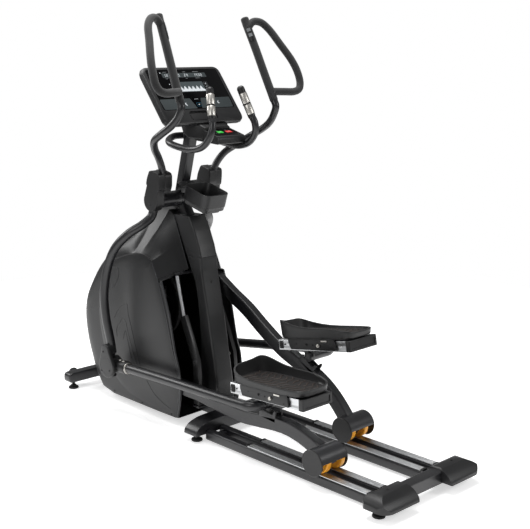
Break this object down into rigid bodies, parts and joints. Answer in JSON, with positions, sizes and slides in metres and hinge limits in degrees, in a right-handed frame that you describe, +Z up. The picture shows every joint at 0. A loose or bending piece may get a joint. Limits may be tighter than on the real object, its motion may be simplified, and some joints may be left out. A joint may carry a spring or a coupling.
{
  "type": "elliptical trainer",
  "caption": "Floor-standing elliptical trainer: rear roller rails, crank housing, linked pedals and swing handlebars, mast console.",
  "frame": {"origin": "on the floor, under the middle of the machine", "axes": "+Y the way the user faces, from the roller rails towards the housing; +X to the right of the user; +Z up"},
  "size_m": [0.8408, 2.1333, 1.7992],
  "materials": {
    "frame_paint": "satin black powder coat",
    "shell_plastic": "moulded matt charcoal",
    "dark_plastic": "moulded black",
    "pedal_plastic": "moulded charcoal, fine grain",
    "pedal_mat": "ribbed rubber",
    "aluminium": "brushed extrusion",
    "steel": "brushed",
    "foam": "matt foam grip",
    "rubber": "matt",
    "wheel_orange": "cast urethane",
    "display": "glossy black",
    "legend": "printed marks",
    "key_green": "moulded key",
    "key_red": "moulded key"
  },
  "bodies": {
    "frame": {"rear_stabilizer": "frame_paint", "mid_stabilizer": "frame_paint", "front_stabilizer": "frame_paint", "base_beam": "frame_paint", "frame_mast": "frame_paint", "drive_bracket": "frame_paint", "fixed_handlebar": "frame_paint", "drive_belt": "rubber", "pivot_axle": "steel", "spine_cover": "shell_plastic", "console_housing": "shell_plastic", "accessory_tray": "shell_plastic", "console_lens": "display", "rail_frame_left": "frame_paint", "slot_strut_left": "frame_paint", "rear_cap_left": "shell_plastic", "shroud_left": "shell_plastic", "track_strip_left_inner": "aluminium", "track_strip_left_outer": "aluminium", "pulse_grip_left": "steel", "foot_rear_left": "rubber", "foot_mid_left": "rubber", "foot_front_left": "rubber", "rail_frame_right": "frame_paint", "slot_strut_right": "frame_paint", "rear_cap_right": "shell_plastic", "shroud_right": "shell_plastic", "track_strip_right_inner": "aluminium", "track_strip_right_outer": "aluminium", "pulse_grip_right": "steel", "foot_rear_right": "rubber", "foot_mid_right": "rubber", "foot_front_right": "rubber"},
    "crank": {"crank": "frame_paint", "drive_pulley": "dark_plastic"},
    "flywheel": {"flywheel": "steel"},
    "start_key": {"start_button": "key_green"},
    "stop_key": {"stop_button": "key_red"},
    "left_swing": {"swing_arm_left": "frame_paint", "handlebar_left": "frame_paint", "hand_grip_left": "foam", "pivot_cover_left": "shell_plastic"},
    "left_link": {"link_arm_left": "frame_paint", "pedal_rail_left": "aluminium"},
    "left_pedal": {"pedal_left": "pedal_plastic"},
    "left_carriage": {"roller_axle_left": "steel"},
    "left_arm": {"connecting_arm_left": "frame_paint"},
    "left_rollers": {"roller_pair_left": "wheel_orange"},
    "left_transport_wheel": {"transport_wheel_left": "rubber"},
    "right_swing": {"swing_arm_right": "frame_paint", "handlebar_right": "frame_paint", "hand_grip_right": "foam", "pivot_cover_right": "shell_plastic"},
    "right_link": {"link_arm_right": "frame_paint", "pedal_rail_right": "aluminium"},
    "right_pedal": {"pedal_right": "pedal_plastic"},
    "right_carriage": {"roller_axle_right": "steel"},
    "right_arm": {"connecting_arm_right": "frame_paint"},
    "right_rollers": {"roller_pair_right": "wheel_orange"},
    "right_transport_wheel": {"transport_wheel_right": "rubber"}
  },
  "joints": [
    {"name": "crank_turn", "type": "hinge", "parent": "frame", "child": "crank", "pos_m": [0, 0.581, 0.482], "axis": [1, 0, 0], "range_deg": [0, 70]},
    {"name": "flywheel_spin", "type": "hinge", "parent": "frame", "child": "flywheel", "pos_m": [0, 0.76, 0.33], "axis": [1, 0, 0], "continuous": true},
    {"name": "left_handlebar_swing", "type": "hinge", "parent": "frame", "child": "left_swing", "pos_m": [0, 0.395, 1], "axis": [1, 0, 0], "range_deg": [-1, 22.5]},
    {"name": "left_link_pivot", "type": "hinge", "parent": "left_swing", "child": "left_link", "pos_m": [0, 0.58997, 0.22206], "axis": [1, 0, 0], "range_deg": [-17.7, 1]},
    {"name": "left_carriage_roll", "type": "slide", "parent": "frame", "child": "left_carriage", "axis": [0, 1, 0], "range_m": [-0.004, 0.3]},
    {"name": "left_arm_pivot", "type": "hinge", "parent": "left_carriage", "child": "left_arm", "pos_m": [0, -0.65581, 0.1063], "axis": [1, 0, 0], "range_deg": [-1, 8.1]},
    {"name": "left_roller_spin", "type": "hinge", "parent": "left_carriage", "child": "left_rollers", "pos_m": [0, -0.65581, 0.1063], "axis": [1, 0, 0], "continuous": true},
    {"name": "left_pedal_adjust", "type": "slide", "parent": "left_link", "child": "left_pedal", "axis": [0, 0.9983, -0.0584], "range_m": [-0.04, 0.04]},
    {"name": "left_transport_wheel_spin", "type": "hinge", "parent": "frame", "child": "left_transport_wheel", "pos_m": [0, 1.039, 0.055], "axis": [1, 0, 0], "continuous": true},
    {"name": "right_handlebar_swing", "type": "hinge", "parent": "frame", "child": "right_swing", "pos_m": [0, 0.395, 1], "axis": [1, 0, 0], "range_deg": [-23.1, 1]},
    {"name": "right_link_pivot", "type": "hinge", "parent": "right_swing", "child": "right_link", "pos_m": [0, 0.62144, 0.23063], "axis": [1, 0, 0], "range_deg": [-1, 22.8]},
    {"name": "right_carriage_roll", "type": "slide", "parent": "frame", "child": "right_carriage", "axis": [0, 1, 0], "range_m": [-0.363, 0.004]},
    {"name": "right_arm_pivot", "type": "hinge", "parent": "right_carriage", "child": "right_arm", "pos_m": [0, -0.50093, 0.1063], "axis": [1, 0, 0], "range_deg": [-8.9, 1]},
    {"name": "right_roller_spin", "type": "hinge", "parent": "right_carriage", "child": "right_rollers", "pos_m": [0, -0.50093, 0.1063], "axis": [1, 0, 0], "continuous": true},
    {"name": "right_pedal_adjust", "type": "slide", "parent": "right_link", "child": "right_pedal", "axis": [0, 0.9829, -0.1839], "range_m": [-0.04, 0.04]},
    {"name": "right_transport_wheel_spin", "type": "hinge", "parent": "frame", "child": "right_transport_wheel", "pos_m": [0, 1.039, 0.055], "axis": [1, 0, 0], "continuous": true},
    {"name": "start_key_press", "type": "slide", "parent": "frame", "child": "start_key", "axis": [0, 0, -1], "range_m": [0, 0.0015], "stiffness_N_per_m": 600},
    {"name": "stop_key_press", "type": "slide", "parent": "frame", "child": "stop_key", "axis": [0, 0, -1], "range_m": [0, 0.0015], "stiffness_N_per_m": 600}
  ],
  "couplings": [
    {"joint": "flywheel_spin", "follows": "crank_turn", "ratio": 5.3333},
    {"joint": "left_handlebar_swing", "follows": "crank_turn", "ratio": 0.307},
    {"joint": "left_link_pivot", "follows": "crank_turn", "ratio": -0.239},
    {"joint": "left_carriage_roll", "follows": "crank_turn", "m_per_rad": 0.2425},
    {"joint": "left_arm_pivot", "follows": "crank_turn", "ratio": 0.102},
    {"joint": "left_roller_spin", "follows": "crank_turn", "ratio": -4.85},
    {"joint": "right_handlebar_swing", "follows": "crank_turn", "ratio": -0.316},
    {"joint": "right_link_pivot", "follows": "crank_turn", "ratio": 0.312},
    {"joint": "right_carriage_roll", "follows": "crank_turn", "m_per_rad": -0.2938},
    {"joint": "right_arm_pivot", "follows": "crank_turn", "ratio": -0.113},
    {"joint": "right_roller_spin", "follows": "crank_turn", "ratio": 5.876}
  ]
}
